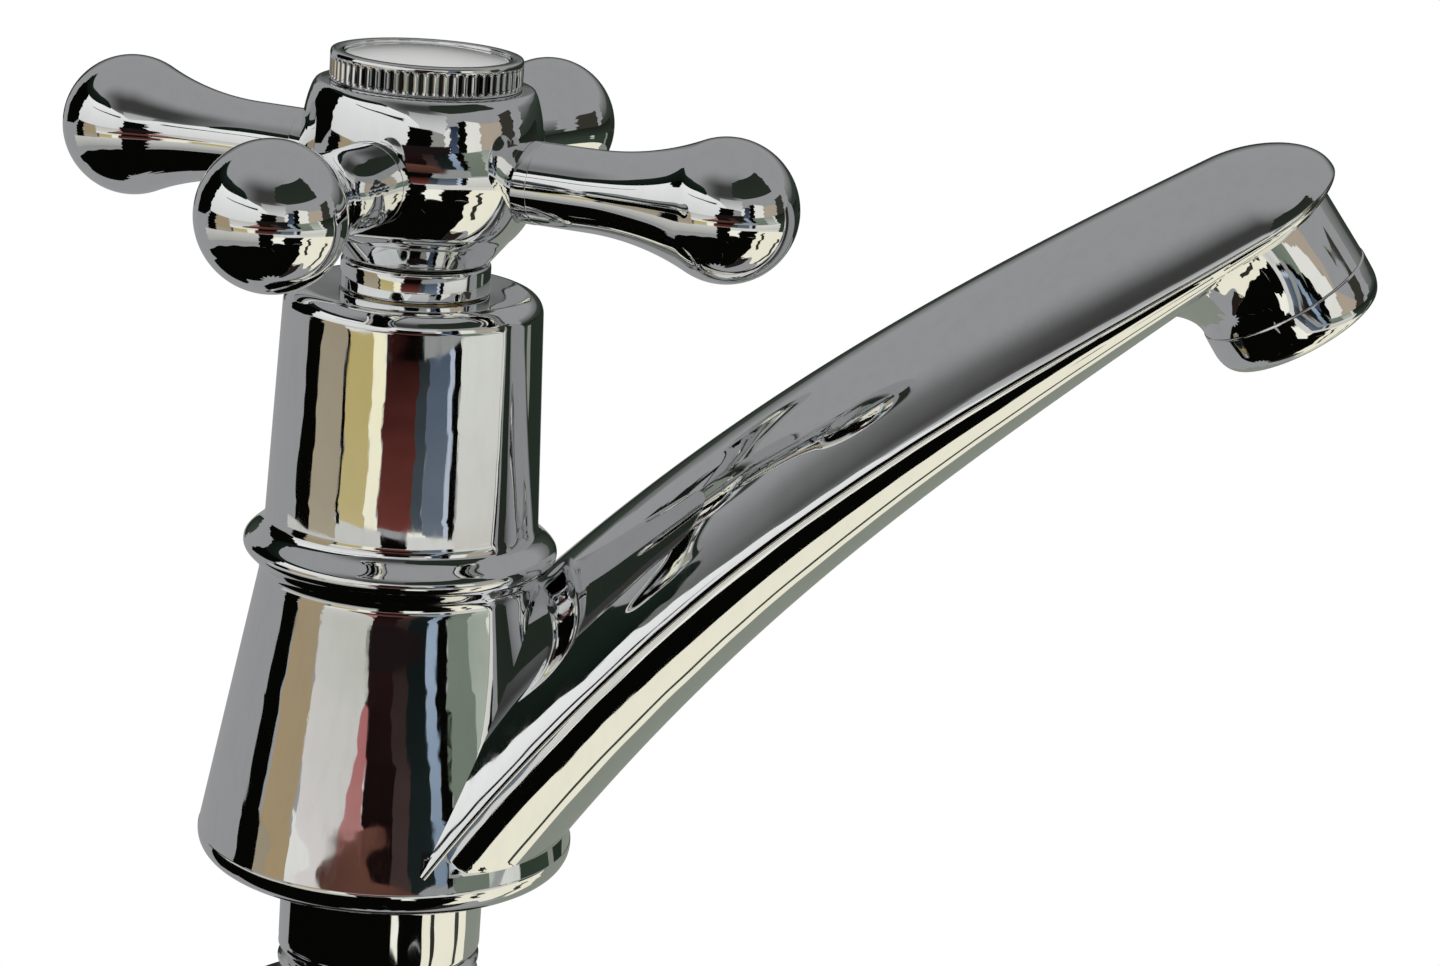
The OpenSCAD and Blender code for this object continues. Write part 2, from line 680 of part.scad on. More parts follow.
module index_cap() {
    color("silver") difference() {
        union() {
            translate([0, 0, hub_top_z]) linear_extrude(cap_h) fluted_outline();
            translate([0, 0, recess_z+cap_skirt_gap]) cylinder(r = recess_r-push_fit,
                h = hub_top_z-recess_z);
        }
        translate([0, 0, recess_z]) cylinder(r = recess_r-cap_skirt_t, h = hub_top_z-recess_z);
        translate([0, 0, hub_top_z+cap_floor_h]) cylinder(r = index_r+push_fit, h = cap_h);
    }
}

module index_disc() {
    edge_h = cap_h-cap_floor_h;
    dome_r = (index_r*index_r+index_dome*index_dome)/(2*index_dome);
    color("ivory") translate([0, 0, hub_top_z+cap_floor_h]) rotate_extrude() intersection() {
        square([index_r, edge_h+index_dome]);
        translate([0, edge_h+index_dome/2-dome_r]) circle(r = dome_r, $fn = 360);
    }
}

module aerator_housing() {
    color("silver") at_nozzle() difference() {
        union() {
            rotate_extrude() polygon(concat([[0, 0]],
                arc(aerator_ring_r-aerator_round, 2*aerator_round, aerator_round,
                    2*aerator_round, -90, 0, 8),
                [[aerator_ring_r, aerator_ring_h-0.3], [aerator_ring_r-0.2, aerator_ring_h],
                [0, aerator_ring_h]]));
            cylinder(r = aerator_thread_r, h = aerator_ring_h+aerator_thread_h);
        }
        translate([0, 0, -1]) cylinder(r = insert_r-aerator_wall, h = nozzle_drop);
        translate([0, 0, aerator_wall]) cylinder(r = insert_r, h = nozzle_drop);
    }
}

module aerator_insert() {
    bar = 0.8;
    r = insert_r-push_fit;
    h = screen_z-aerator_wall;
    wall = 0.9;
    count = 5;
    pitch = (2*r-2*wall-bar)/count;
    color("white") at_nozzle() translate([0, 0, aerator_wall]) {
        ring(r-wall, r, h);
        intersection() {
            cylinder(r = r-wall/2, h = h/2);
            union() {
                for (i = [0.5:1:count-0.5], a = [0, 90]) rotate(a)
                    translate([-bar/2+(i-count/2)*pitch, -r, 0]) cube([bar, 2*r, h/2]);
            }
        }
    }
}

module aerator_screen() {
    thickness = 0.6;
    hole_r = 0.55;
    hole_step = 1.7;
    color("lightgray") at_nozzle() translate([0, 0, screen_z]) difference() {
        cylinder(r = insert_r-push_fit, h = thickness);
        for (k = [1:3], i = [0:6*k-1]) rotate(i*60/k)
            translate([k*hole_step, 0, -1]) cylinder(r = hole_r, h = thickness+2, $fn = 24);
    }
}

module aerator_seal() {
    color("dimgray") at_nozzle() translate([0, 0, aerator_ring_h+aerator_thread_h])
        ring(waterway_r+1.6, aerator_thread_r-0.1, aerator_seal_t);
}

tap_body();
shank();
base_seal();
soft_washer();
metal_washer();
backnut();
headwork_seal();
headwork_body();
seat_seal();
fixed_disc();
moving_disc();
thrust_washer();
spindle();
spindle_o_rings();
spindle_clip();
cover();
collar_nut();
handle_hub();
handle_arms();
handle_screw();
index_cap();
index_disc();
aerator_housing();
aerator_insert();
aerator_screen();
aerator_seal();
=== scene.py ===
"""A chrome pillar basin tap with a cross handle, dressed around its construction model."""
import bpy
import numpy as np
from mathutils import Matrix


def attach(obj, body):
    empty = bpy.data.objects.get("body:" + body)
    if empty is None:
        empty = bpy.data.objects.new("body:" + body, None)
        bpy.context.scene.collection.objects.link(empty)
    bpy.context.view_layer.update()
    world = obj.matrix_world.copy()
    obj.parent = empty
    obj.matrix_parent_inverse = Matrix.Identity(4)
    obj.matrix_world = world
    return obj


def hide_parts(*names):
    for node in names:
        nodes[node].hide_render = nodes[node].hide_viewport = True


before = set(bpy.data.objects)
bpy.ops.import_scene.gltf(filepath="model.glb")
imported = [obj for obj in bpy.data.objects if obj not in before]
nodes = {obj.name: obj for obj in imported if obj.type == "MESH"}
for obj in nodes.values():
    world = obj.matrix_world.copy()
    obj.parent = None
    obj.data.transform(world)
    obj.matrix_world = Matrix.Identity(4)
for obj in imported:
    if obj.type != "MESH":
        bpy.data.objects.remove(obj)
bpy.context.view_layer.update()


# Tap body. One hollow brass casting: the tapered body with the lower half of its bead, the
# curved spout and the nozzle. It is ground, polished and chrome plated.

MM = 0.001


def skin(name, rings, closed_by):
    """One closed skin over rings of points in millimetres, an array (ring, point, xyz).
    closed_by "poles" puts a point in the middle of each end ring, and "loop" joins the last
    ring to the first. The faces are turned round if the volume inside comes out negative."""
    m, n = rings.shape[:2]
    index = np.arange(m*n).reshape(m, n)
    rows = index if closed_by == "poles" else np.vstack([index, index[:1]])
    a, b = rows[:-1], rows[1:]
    quads = np.stack([a, np.roll(a, -1, 1), np.roll(b, -1, 1), b], -1).reshape(-1, 4)
    points = rings.reshape(-1, 3)
    fans = np.zeros((0, 3), int)
    if closed_by == "poles":
        points = np.vstack([points, rings[0].mean(0), rings[-1].mean(0)])
        first, last = index[0], index[-1]
        fans = np.vstack([
            np.stack([np.roll(first, -1), first, np.full(n, m*n)], -1),
            np.stack([last, np.roll(last, -1), np.full(n, m*n+1)], -1)])
    triangles = np.vstack([quads[:, [0, 1, 2]], quads[:, [0, 2, 3]], fans])
    p, q, r = (points[triangles[:, k]] for k in range(3))
    if np.einsum("ij,ij->", p, np.cross(q, r)) < 0:
        quads, fans = quads[:, ::-1], fans[:, ::-1]
    mesh = bpy.data.meshes.new(name)
    mesh.from_pydata((points*MM).tolist(), [], quads.tolist()+fans.tolist())
    piece = bpy.data.objects.new(name, mesh)
    bpy.context.collection.objects.link(piece)
    smooth(piece)
    return piece


def smooth(piece, edge=32):
    """Shades a piece smooth, apart from edges that turn by more than edge degrees."""
    piece.data.polygons.foreach_set("use_smooth", np.ones(len(piece.data.polygons), bool))
    piece.data.set_sharp_from_angle(angle=np.radians(edge))


def turned(profile, columns=160):
    """Rings of a turned form: each (r, z) of the profile goes round the z axis,
    x = r cos a, y = r sin a."""
    a = np.linspace(0, 2*np.pi, columns, endpoint=False)
    r, z = np.asarray(profile, float).T[:, :, None]
    return np.stack([r*np.cos(a), r*np.sin(a), z+0*a], -1)


def rounded(corners, steps=7):
    """A profile through corners (r, z, radius). Each corner becomes the curve
    (1-t)(1-t) A + 2t(1-t) C + t t B between the points A and B one radius before and after it.
    Where the profile joins another one, a slice drops the steps of its first or last corner."""
    c = np.asarray(corners, float)
    here, before, after = c[:, :2], np.roll(c[:, :2], 1, 0), np.roll(c[:, :2], -1, 0)
    t = np.linspace(0, 1, steps)[None, :, None]

    def cut(other):
        way = other-here
        far = np.maximum(np.linalg.norm(way, axis=1, keepdims=True), 1e-9)
        return (here+way/far*np.minimum(c[:, 2:], 0.45*far))[:, None, :]

    curve = (1-t)**2*cut(before)+2*t*(1-t)*here[:, None, :]+t*t*cut(after)
    path = curve.reshape(-1, 2)
    step = np.linalg.norm(path-np.roll(path, 1, 0), axis=1)
    return path[step > 1e-4]


def arc(centre, radii, start, stop, steps=12):
    """Points (r, z) on an ellipse's arc, centre + (rx cos a, rz sin a), angles in degrees."""
    a = np.radians(np.linspace(start, stop, steps))
    return np.stack([centre[0]+radii[0]*np.cos(a), centre[1]+radii[1]*np.sin(a)], -1)


def cut_and_join(piece, joins=(), cuts=()):
    """Unites a piece with others and takes cutters away from it, then deletes them all."""
    for operation, others in (("UNION", joins), ("DIFFERENCE", cuts)):
        for other in others:
            boolean = piece.modifiers.new("cut", "BOOLEAN")
            boolean.solver = "MANIFOLD"
            boolean.operation = operation
            boolean.object = other
    solid = bpy.data.meshes.new_from_object(piece.evaluated_get(
        bpy.context.evaluated_depsgraph_get()))
    piece.modifiers.clear()
    piece.data = solid
    for other in (*joins, *cuts):
        bpy.data.objects.remove(other)
    smooth(piece)


# The bead stands round the body at bead_z, and the cover takes over at the seam in its upper half.
bead_z, bead_r, bead_half, bead_power = 33.5, 15.9, 1.7, 2.4
bead_reach = 2.2*bead_half
seam_z = bead_z+1.8
cover_foot_r = 13.8


def bead(z, foot):
    """Radius at height z: foot plus a bump exp(-(distance/half height)^power) up to bead_r."""
    return foot+(bead_r-foot)*np.exp(-(np.abs(z-bead_z)/bead_half)**bead_power)


# The tapered body: a recess for the seal under the base, a round edge, the cone and the bead.
base_r, base_round, cone_top_r = 19.3, 2.4, 13.6
recess_r1, recess_r2, recess_h = 12.35, 15.05, 1.65
bead_start = 28.0
lean = (base_r-cone_top_r)/(bead_z-base_round)
lean_angle = np.degrees(np.arctan(lean))
underside = rounded([(9, 0, 0.1), (recess_r1, 0, 0.12), (recess_r1, recess_h, 0.1),
                     (recess_r2, recess_h, 0.1), (recess_r2, 0, 0.12), (17, 0, 0.1)])[7:-7]
cone_z = np.concatenate([np.linspace(base_round*1.2, bead_start, 18),
                         np.linspace(bead_start+0.3, seam_z, 44)])
cone_foot = base_r-lean*(cone_z-base_round)
cone_r = bead(cone_z, np.where(cone_z > bead_z, cover_foot_r, cone_foot))
tap_casting = skin("tap_casting", turned(np.vstack([
    underside, arc((base_r-base_round, base_round), (base_round, base_round), -90, lean_angle, 16),
    np.stack([cone_r, cone_z], -1)])), "poles")

# The spout is swept along its edge line, a cubic from the root to the tip.
root_x, reach, root_z, rise = 4.0, 91.0, 4.5, 78.5
root_slope, tip_slope = np.tan(np.radians([53.5, 36.0]))
run = reach-root_x


def cubic(a, b, slope_a, slope_b, t):
    """Cubic from a to b over the spout's run with the given end slopes, at share t."""
    return (a*(1+2*t)*(1-t)**2+b*t*t*(3-2*t)
            + run*(slope_a*t*(1-t)**2-slope_b*t*t*(1-t)))


def edge_line(x):
    """Height and slope angle of the spout's edge line above a point x along its reach."""
    t = (x-root_x)/run
    slope = (rise-root_z)*6*t*(1-t)/run+root_slope*(1-t)*(1-3*t)+tip_slope*t*(3*t-2)
    return cubic(root_z, rise, root_slope, tip_slope, t), np.arctan(slope)


def spout_rings(count=200, crown_points=96, flank_points=72):
    """Rings of the spout, square to its edge line: over it an arch (w cos a, crown sin^p a), p
    being crown_power, then a lip, a fine groove, and under it a half ellipse inset by the
    groove. The ring shrinks by sqrt(1 - s s) over the last tip_round millimetres, which rounds
    the tip off. At the root it is cut flat at root_foot, just over the base's underside."""
    tip_round, lip, groove, crown_power, root_foot = 8.4, 0.3, 0.65, 1.45, 0.02
    root_w, root_crown, root_belly = base_r-0.7, 9.3, 12.3
    tip_w, tip_crown, tip_belly = 10.3, 5.6, 1.9
    u = np.arange(count)/count
    x = (root_x+run*(1-(1-u)**2))[:, None]
    t = (x-root_x)/run
    z, angle = edge_line(x)
    closing = np.sqrt(1-np.clip((x-reach+tip_round)/tip_round, 0, 1)**2)
    width = cubic(root_w, tip_w, slope_a=-0.29, slope_b=-0.1, t=t)*closing
    crown = cubic(root_crown, tip_crown, slope_a=-0.06, slope_b=-0.13, t=t)*closing
    belly = cubic(root_belly, tip_belly, slope_a=-0.08, slope_b=-0.17, t=t)*closing
    lip, groove = lip*closing, groove*closing*np.clip((reach-4-x)/20, 0.25, 1)
    over = np.linspace(0, np.pi, crown_points)
    bend = np.linspace(0, np.pi/2, 6)[1:]
    under = np.linspace(0, np.pi, flank_points)
    across = np.hstack([
        width*np.cos(over), -(width-lip+lip*np.cos(bend)), -(width-groove)*np.cos(under),
        (width-lip+lip*np.cos(bend[::-1]))])
    up = np.hstack([
        crown*np.abs(np.sin(over))**crown_power, -lip*np.sin(bend),
        -lip-(belly-lip)*np.sin(under), -lip*np.sin(bend[::-1])])
    height = np.maximum(z+np.cos(angle)*up, root_foot)
    return np.stack([x-np.sin(angle)*up, across, height], -1)


spout = skin("spout", spout_rings(), "poles")

# The nozzle stands square under the edge line, with z = 0 at the outlet and z up into the spout.
nozzle_x, nozzle_drop, ring_h = reach-8.5, 13.5, 4.5
nozzle_z, nozzle_tilt = edge_line(nozzle_x)


def at_nozzle(rings):
    """Turns and moves rings from the nozzle's own axes to their place under the spout."""
    x, y, z = rings[..., 0], rings[..., 1], rings[..., 2]-nozzle_drop
    c, s = np.cos(nozzle_tilt), np.sin(nozzle_tilt)
    return np.stack([nozzle_x+c*x-s*z, y, nozzle_z+s*x+c*z], -1)


# It narrows to its neck and flares out on the root's side, by flare u u ((1 - cos a)/2)^3.
nozzle_r, nozzle_neck_r, nozzle_flare = 8.9, 8.5, 10.5
u = np.linspace(0, 1, 26)
nozzle_rise = nozzle_drop-0.5-ring_h
nozzle = turned(np.stack([nozzle_r+(nozzle_neck_r-nozzle_r)*u, ring_h+nozzle_rise*u], -1), 128)
around = np.linspace(0, 2*np.pi, 128, endpoint=False)
flare = nozzle_flare*u[:, None]**2*((1-np.cos(around))/2)**3
nozzle[..., :2] *= (1+flare/((nozzle_r+nozzle_neck_r)/2))[..., None]
nozzle = skin("nozzle", at_nozzle(nozzle), "poles")

# The hollows: for the shank's top, round the headwork, and in the nozzle.
thread_fit = 0.05
seat_z, spigot_r, chamber_r = 17.0, 9.0, 9.9
headwork_z, headwork_r = 27.0, 10.45+thread_fit
aerator_r, nozzle_shoulder = 7.2, 9.7
valve_bore = skin("valve_bore", turned(rounded([
    (3, -1, 0.1), (spigot_r+thread_fit, -1, 0.1), (spigot_r+thread_fit, seat_z, 0.1),
    (chamber_r, seat_z, 0.1), (chamber_r, headwork_z, 0.1), (headwork_r, headwork_z, 0.1),
    (headwork_r, seam_z+1, 0.1), (3, seam_z+1, 0.1)])), "poles")
nozzle_bore = skin("nozzle_bore", at_nozzle(turned(
    [(aerator_r+thread_fit, -1), (aerator_r+thread_fit, nozzle_shoulder)], 96)), "poles")
cut_and_join(tap_casting, joins=[spout, nozzle], cuts=[valve_bore, nozzle_bore])


def node_group(name, inputs, outputs):
    """A shader group with the named inputs, at their values, and the named outputs."""
    group = bpy.data.node_groups.new(name, "ShaderNodeTree")
    for label, value in inputs.items():
        socket = group.interface.new_socket(label, in_out="INPUT", socket_type="NodeSocketFloat")
        socket.default_value = value
    for label in outputs:
        group.interface.new_socket(label, in_out="OUTPUT", socket_type="NodeSocketFloat")
    return group, group.nodes.new("NodeGroupInput").outputs, group.nodes.new("NodeGroupOutput").inputs


def put(tree, kind, links=None, **settings):
    """Adds a node, sets its settings or its sockets' values by name, and links its inputs."""
    node = tree.nodes.new("ShaderNode"+kind)
    for key, value in settings.items():
        if hasattr(node, key):
            setattr(node, key, value)
        else:
            node.inputs[key.replace("_", " ").title()].default_value = value
    for key, source in (links or {}).items():
        tree.links.new(source, node.inputs[key])
    return node


def scale_for(tree, size):
    """Scale of a noise whose marks have that size, 1/size."""
    node = put(tree, "Math", {1: size}, operation="DIVIDE")
    node.inputs[0].default_value = 1
    return node.outputs[0]


# Polish: slow waves that the polishing mop leaves, and faint wiping marks, by object place.
polish, given, result = node_group(
    "polish", {"Wave Size": 0.012, "Mark Size": 0.0016}, ["Wave", "Marks"])
place = put(polish, "TexCoord").outputs["Object"]
wave_noise = put(polish, "TexNoise", {"Vector": place, "Scale": scale_for(polish, given["Wave Size"])},
                 detail=1.5)
streak = put(polish, "Mapping", {"Vector": place}, scale=(1, 1, 0.25), rotation=(0.3, 0.5, 0.2))
mark_noise = put(polish, "TexNoise",
                 {"Vector": streak.outputs[0], "Scale": scale_for(polish, given["Mark Size"])},
                 detail=4, roughness=0.6)
sharpen = put(polish, "MapRange", {"Value": mark_noise.outputs["Fac"]}, from_min=0.45, from_max=0.8)
polish.links.new(wave_noise.outputs["Fac"], result["Wave"])
polish.links.new(sharpen.outputs["Result"], result["Marks"])


def finish_of(name, metallic=0.0, **sockets):
    """A new material with its Principled shader; sockets are plain values on that shader."""
    material = bpy.data.materials.new(name)
    material.use_nodes = True
    shader = material.node_tree.nodes["Principled BSDF"]
    shader.inputs["Metallic"].default_value = metallic
    for key, value in sockets.items():
        shader.inputs[key.replace("_", " ").title().replace("Ior", "IOR")].default_value = value
    return material, material.node_tree, shader


def use_group(tree, group, **values):
    """Places a shader group in a material with its own values."""
    node = tree.nodes.new("ShaderNodeGroup")
    node.node_tree = group
    for key, value in values.items():
        node.inputs[key.replace("_", " ").title()].default_value = value
    return node


def two_tones(tree, mask, dark, light, target):
    """Mixes two colours by a mask into a shader's socket."""
    mix = put(tree, "Mix", {"Factor": mask}, data_type="RGBA")
    mix.inputs[6].default_value = (*dark, 1)
    mix.inputs[7].default_value = (*light, 1)
    tree.links.new(mix.outputs[2], target)


def between(tree, mask, low, high, target):
    """Maps a mask from 0..1 to low..high into a shader's socket."""
    span = put(tree, "MapRange", {"Value": mask}, to_min=low, to_max=high)
    tree.links.new(span.outputs["Result"], target)


def bump(tree, height, distance, target):
    """Raises the surface's look by a height mask, by distance metres where it is 1."""
    node = put(tree, "Bump", {"Height": height}, strength=1.0, distance=distance)
    tree.links.new(node.outputs["Normal"], target)


plate = (0.83, 0.84, 0.845)


def chrome(name, wave_depth):
    """Polished chrome plate: a mirror with slow waves and faint wiping marks."""
    material, tree, shader = finish_of(name, metallic=1.0)
    marks = use_group(tree, polish, wave_size=0.011, mark_size=0.0012)
    two_tones(tree, marks.outputs["Marks"], plate, tuple(0.95*c for c in plate),
              shader.inputs["Base Color"])
    between(tree, marks.outputs["Marks"], 0.02, 0.07, shader.inputs["Roughness"])
    bump(tree, marks.outputs["Wave"], wave_depth, shader.inputs["Normal"])
    return material


cast_chrome = chrome("cast_chrome", 0.00012)


def dress(piece, material, body=None, node=None):
    """Gives a piece its material and, if it is a new one, its body, and hides the CAD node it
    replaces.
    """
    piece.data.materials.clear()
    piece.data.materials.append(material)
    if body:
        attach(piece, body)
        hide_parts(node)


dress(tap_casting, cast_chrome, "body", "tap_body")


# Shank. A brass tube with a pipe thread outside, chrome plated, whose narrower top screws up
# into the body and carries the seat of the headwork.

shank_r, shank_len, inlet_r = 10.478, 45.0, 5.5
thread_top, thread_foot, pitch, thread_depth = -9.3, -44.4, 1.814, 1.16
thread_z = np.arange(thread_foot+0.1, thread_top+0.3, 0.16)
shank_rows = np.vstack([
    rounded([(inlet_r, -shank_len+0.7, 0.1), (inlet_r+0.7, -shank_len, 0.1),
             (shank_r-1, -shank_len, 0.3), (shank_r, -shank_len+0.5, 0.1)]),
    np.stack([np.full_like(thread_z, shank_r), thread_z], -1),
    rounded([(shank_r, -1, 0.1), (shank_r, 0, 0.2), (spigot_r, 0, 0.1), (spigot_r, seat_z, 0.4),
             (inlet_r, seat_z, 0.1), (inlet_r, seat_z-2, 0.1)])[7:-7]])
rings = turned(shank_rows)
# The thread is a helix: its depth follows z less one pitch a turn, and fades at both ends.
turn = np.arctan2(rings[..., 1], rings[..., 0])/(2*np.pi)
wave = 0.5-0.5*np.cos(2*np.pi*(rings[..., 2]/pitch-turn))
fade = np.clip((rings[..., 2]-thread_foot)/1.2, 0, 1)*np.clip((thread_top-rings[..., 2])/1.6, 0, 1)
depth = thread_depth*fade*np.clip(1.25*wave-0.12, 0, 1)
depth[np.hypot(rings[..., 0], rings[..., 1]) < shank_r-0.05] = 0
rings[..., :2] *= (1-depth/shank_r)[..., None]
shank = skin("threaded_shank", rings, "loop")
dress(shank, cast_chrome, "body", "shank")


# Base seal. A flat ring of black rubber, moulded to lie in the recess under the base. The
# backnut presses it on the deck, so that no water gets under the tap.

# Grain: a fine grain of the given size, and patches about sixteen times as large.
grain, given, result = node_group("grain", {"Size": 0.0004}, ["Grain", "Patches"])
place = put(grain, "TexCoord").outputs["Object"]
fine = scale_for(grain, given["Size"])
coarse = put(grain, "Math", {0: fine}, operation="MULTIPLY")
coarse.inputs[1].default_value = 0.06
fine_noise = put(grain, "TexNoise", {"Vector": place, "Scale": fine}, detail=3)
coarse_noise = put(grain, "TexNoise", {"Vector": place, "Scale": coarse.outputs[0]}, detail=4)
grain.links.new(fine_noise.outputs["Fac"], result["Grain"])
grain.links.new(coarse_noise.outputs["Fac"], result["Patches"])


def moulded(name, dark, light, low, high, size, depth, **sockets):
    """Moulded or pressed stuff: two close tones in patches, and a fine grain."""
    material, tree, shader = finish_of(name, **sockets)
    marks = use_group(tree, grain, size=size)
    two_tones(tree, marks.outputs["Patches"], dark, light, shader.inputs["Base Color"])
    between(tree, marks.outputs["Patches"], low, high, shader.inputs["Roughness"])
    bump(tree, marks.outputs["Grain"], depth, shader.inputs["Normal"])
    return material


black_rubber = moulded("black_rubber", (0.012, 0.012, 0.013), (0.03, 0.03, 0.032), 0.5, 0.7,
                       0.0005, 0.00006, specular_ior_level=0.35)
dress(nodes["base_seal"], black_rubber)


# Soft washer. A thick ring of black rubber under the deck. It takes up the deck's unevenness
# and keeps the steel washer off it.

deck_t, soft_t, washer_hole, washer_r = 18.0, 3.0, shank_r+0.5, 16.5
soft_foot = -deck_t-soft_t
soft_washer = skin("rubber_washer", turned(rounded([
    (washer_hole, soft_foot, 0.3), (washer_r, soft_foot, 0.7),
    (washer_r, -deck_t, 0.7), (washer_hole, -deck_t, 0.3)])), "loop")
dress(soft_washer, black_rubber, "body", "soft_washer")


# Metal washer. A ring stamped from steel sheet and zinc plated. It lies between the rubber and
# the backnut, so that the nut slides on it as it is turned.

# Brushed: lines round the z axis, a noise over (distance from the axis, height), and tarnish.
brushed, given, result = node_group("brushed", {"Size": 0.0003}, ["Lines", "Tarnish"])
place = put(brushed, "TexCoord").outputs["Object"]
parts = put(brushed, "SeparateXYZ", {"Vector": place})
flat = put(brushed, "CombineXYZ", {"X": parts.outputs["X"], "Y": parts.outputs["Y"]})
radius = put(brushed, "VectorMath", {0: flat.outputs[0]}, operation="LENGTH")
section = put(brushed, "CombineXYZ", {"X": radius.outputs["Value"], "Y": parts.outputs["Z"]})
line_noise = put(brushed, "TexNoise",
                 {"Vector": section.outputs[0], "Scale": scale_for(brushed, given["Size"])}, detail=3)
tarnish_noise = put(brushed, "TexNoise", {"Vector": place}, scale=120, detail=5)
brushed.links.new(line_noise.outputs["Fac"], result["Lines"])
brushed.links.new(tarnish_noise.outputs["Fac"], result["Tarnish"])


def machined(name, dark, light, low, high):
    """Turned metal: fine lines round the axis, and tarnish in slow patches."""
    material, tree, shader = finish_of(name, metallic=1.0)
    marks = use_group(tree, brushed, size=0.00025)
    two_tones(tree, marks.outputs["Tarnish"], dark, light, shader.inputs["Base Color"])
    between(tree, marks.outputs["Tarnish"], low, high, shader.inputs["Roughness"])
    bump(tree, marks.outputs["Lines"], 0.00002, shader.inputs["Normal"])
    return material


plated_steel = machined("plated_steel", (0.5, 0.51, 0.53), (0.66, 0.67, 0.68), 0.2, 0.34)
steel_t, steel_hole = 1.2, shank_r+0.3
plate_foot = soft_foot-steel_t
metal_washer = skin("steel_washer", turned(rounded([
    (steel_hole, plate_foot, 0.1), (washer_r, plate_foot, 0.35),
    (washer_r, soft_foot, 0.15), (steel_hole, soft_foot, 0.25)])), "loop")
dress(metal_washer, plated_steel, "body", "metal_washer")


# Backnut. A brass hexagon with a round flange, hot pressed, turned and chamfered, which
# clamps the tap to the deck.

turned_brass = machined("turned_brass", (0.56, 0.38, 0.14), (0.76, 0.57, 0.27), 0.22, 0.36)
nut_h, nut_flats, flange_t, flange_r = 8.0, 27.0, 2.0, washer_r-0.5
nut_foot, flange_foot = plate_foot-nut_h, plate_foot-flange_t
bore_r, corner_r = shank_r+thread_fit, nut_flats/2/np.cos(np.pi/6)
nut_profile = rounded([
    (bore_r, nut_foot+0.6, 0.1), (bore_r+0.6, nut_foot, 0.15), (nut_flats/2-0.4, nut_foot, 0.2),
    (corner_r, nut_foot+1.3, 0.1), (corner_r, flange_foot, 0.05),
    (flange_r, flange_foot+0.02, 0.2), (flange_r, plate_foot, 0.3),
    (bore_r+0.4, plate_foot, 0.1), (bore_r, plate_foot-0.4, 0.1)], 5)
nut = turned(nut_profile, 180)
# Six flats: no point of the hexagon's length lies further out than flats/2 square to a flat.
a = np.linspace(0, 2*np.pi, 180, endpoint=False)
flat_r = nut_flats/2/np.cos((a+np.pi/6) % (np.pi/3)-np.pi/6)
nut_r = np.hypot(nut[..., 0], nut[..., 1])
in_hexagon = (nut[..., 2] < flange_foot+0.01) & (nut_r > bore_r+1)
nut[..., :2] *= np.where(in_hexagon, np.minimum(1, flat_r/nut_r), 1)[..., None]
backnut = skin("brass_backnut", nut, "loop")
dress(backnut, turned_brass, "body", "backnut")


# Headwork. The quarter-turn valve inside the body: a turned brass body with its hexagon, red
# fibre and rubber seals, two lapped ceramic discs, and the spindle with its rings and clip.

red_fibre = moulded("red_fibre", (0.2, 0.03, 0.02), (0.34, 0.06, 0.045), 0.6, 0.8,
                    0.0006, 0.00008)
alumina = moulded("alumina", (0.78, 0.77, 0.74), (0.86, 0.85, 0.82), 0.12, 0.2,
                  0.0002, 0.000004, coat_weight=0.3)
white_plastic = moulded("white_plastic", (0.74, 0.74, 0.73), (0.82, 0.82, 0.81), 0.35, 0.5,
                        0.0006, 0.00002)
for name, material in (
        ("headwork_seal", red_fibre), ("headwork_body", turned_brass), ("seat_seal", black_rubber),
        ("fixed_disc", alumina), ("moving_disc", alumina), ("thrust_washer", white_plastic),
        ("spindle", turned_brass), ("spindle_o_rings", black_rubber), ("spindle_clip", plated_steel)):
    dress(nodes[name], material)


# Cover. A spun brass shell over the headwork, chrome plated; its foot is the upper half of
# the bead, and the collar nut holds it down.

spun_chrome = chrome("spun_chrome", 0.0001)
cover_z, cover_r, cover_round, wall = 60.2, 13.0, 2.0, 1.2
neck_hole = 6.45
foot_z = np.linspace(seam_z, bead_z+bead_reach, 24)
side_z = np.linspace(bead_z+bead_reach, cover_z-cover_round, 8)[1:-1]
side_r = np.interp(side_z, [bead_z+bead_reach, cover_z-cover_round], [cover_foot_r, cover_r])
inside = rounded([(neck_hole, cover_z, 0.25), (neck_hole, cover_z-wall, 0.1),
                  (cover_r-wall, cover_z-wall, 1.2), (cover_foot_r-wall, seam_z, 0.1)])
cover = skin("cover_shell", turned(np.vstack([
    np.stack([bead(foot_z, cover_foot_r), foot_z], -1), np.stack([side_r, side_z], -1),
    arc((cover_r-cover_round, cover_z-cover_round), (cover_round, cover_round), 0, 90, 20),
    inside])), "loop")
dress(cover, spun_chrome, "body", "cover")


# Collar nut. A plain ring of brass, turned and chrome plated, with a thread inside. It screws on
# the headwork's neck and holds the cover down.

collar_r, collar_h = 7.5, 2.9
collar_top = cover_z+collar_h
collar = skin("collar_ring", turned(rounded([
    (neck_hole, cover_z, 0.1), (collar_r, cover_z, 0.2), (collar_r, collar_top, 0.45),
    (neck_hole, collar_top, 0.3)])), "loop")
dress(collar, spun_chrome, "body", "collar_nut")


# Handle hub. A barrel of plated zinc on the spindle's splines, coned to its foot, with a
# socket for each of the four arms and a recess for the cap.

handle_chrome = chrome("handle_chrome", 0.00008)
hub_z, hub_h, hub_r, arm_h = 63.4, 17.3, 12.1, 9.0
hub_top, arm_z = hub_z+hub_h, hub_z+arm_h
handle_angle = np.radians(-24.3)
